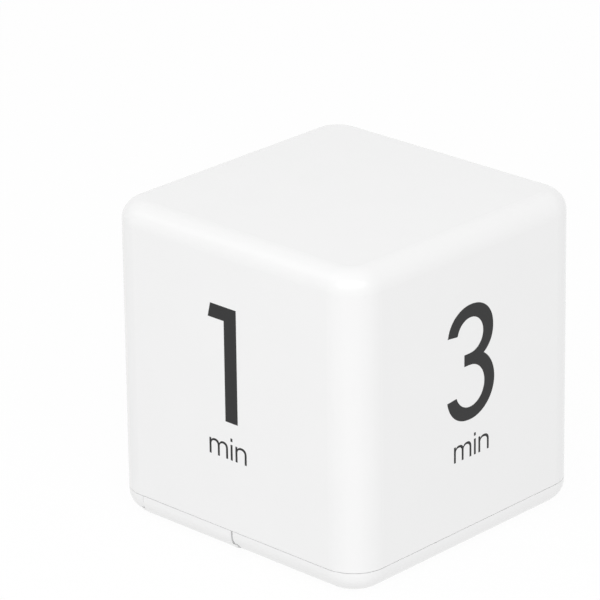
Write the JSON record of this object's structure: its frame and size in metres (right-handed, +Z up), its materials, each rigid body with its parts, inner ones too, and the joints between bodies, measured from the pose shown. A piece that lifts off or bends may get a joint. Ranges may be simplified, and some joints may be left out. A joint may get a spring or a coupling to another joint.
{
  "type": "cube timer",
  "caption": "White rounded cube countdown timer with a time printed on each of the four sides, display and battery door in its base.",
  "frame": {"origin": "under the middle of the cube, in the plane of its base", "axes": "+Z up to the blank side, -Y out of the side marked 1, +X out of the side marked 3, +Y out of the side marked 5, -X out of the side marked 10"},
  "size_m": [0.0636, 0.0636, 0.0635],
  "materials": {
    "white_shell": "satin moulded ABS",
    "white_inner": "moulded, as moulded",
    "clear_lens": "clear acrylic, polished, grey printed border",
    "display_glass": "reflective display glass",
    "strip_rubber": "matt silicone",
    "board_green": "solder resist over glass fibre",
    "black_epoxy": "cast epoxy",
    "black_plastic": "moulded",
    "bright_steel": "drawn and plated",
    "ball_steel": "ground and plated",
    "screw_steel": "zinc plated",
    "cell_sleeve": "plain printed film sleeve",
    "nickel_contact": "nickel plated spring steel",
    "red_pvc": "extruded",
    "black_pvc": "extruded",
    "print_ink": "pad printed ink of the numbers and of ON and OFF",
    "lens_print": "ink printed on the back of the lens",
    "solder": "tin solder"
  },
  "bodies": {
    "timer": {"body_shell": "white_shell", "base_cover": "white_shell", "display_lens": "clear_lens", "display_glass": "display_glass", "display_frame": "white_inner", "contact_strips": "strip_rubber", "circuit_board": "board_green", "chip_blob": "black_epoxy", "crystal": "bright_steel", "capacitor": "black_plastic", "chip_parts": "black_epoxy", "transistor": "black_epoxy", "buzzer": "black_plastic", "switch_body": "black_plastic", "switch_cover": "bright_steel", "tilt_can_left": "bright_steel", "tilt_can_right": "bright_steel", "tilt_can_front": "bright_steel", "tilt_can_back": "bright_steel", "tilt_plugs": "black_epoxy", "cell_left": "cell_sleeve", "cell_right": "cell_sleeve", "positive_contact": "nickel_contact", "negative_contact": "nickel_contact", "bridge_contact": "nickel_contact", "red_lead": "red_pvc", "black_lead": "black_pvc", "cover_screws": "screw_steel", "board_screws": "screw_steel"},
    "battery_door": {"battery_door": "white_shell"},
    "switch_lever": {"switch_lever": "black_plastic"},
    "tilt_ball_left": {"tilt_ball_left": "ball_steel"},
    "tilt_ball_right": {"tilt_ball_right": "ball_steel"},
    "tilt_ball_front": {"tilt_ball_front": "ball_steel"},
    "tilt_ball_back": {"tilt_ball_back": "ball_steel"}
  },
  "joints": [
    {"name": "battery_door_slide", "type": "slide", "parent": "timer", "child": "battery_door", "axis": [0, -1, 0], "range_m": [0, 0.056]},
    {"name": "switch_slide", "type": "slide", "parent": "timer", "child": "switch_lever", "axis": [0, 1, 0], "range_m": [0, 0.002]},
    {"name": "tilt_ball_left_slide", "type": "slide", "parent": "timer", "child": "tilt_ball_left", "axis": [-0.7071, 0, 0.7071], "range_m": [0, 0.0026]},
    {"name": "tilt_ball_right_slide", "type": "slide", "parent": "timer", "child": "tilt_ball_right", "axis": [0.7071, 0, 0.7071], "range_m": [0, 0.0026]},
    {"name": "tilt_ball_front_slide", "type": "slide", "parent": "timer", "child": "tilt_ball_front", "axis": [0, -0.7071, 0.7071], "range_m": [0, 0.0026]},
    {"name": "tilt_ball_back_slide", "type": "slide", "parent": "timer", "child": "tilt_ball_back", "axis": [0, 0.7071, 0.7071], "range_m": [0, 0.0026]}
  ]
}
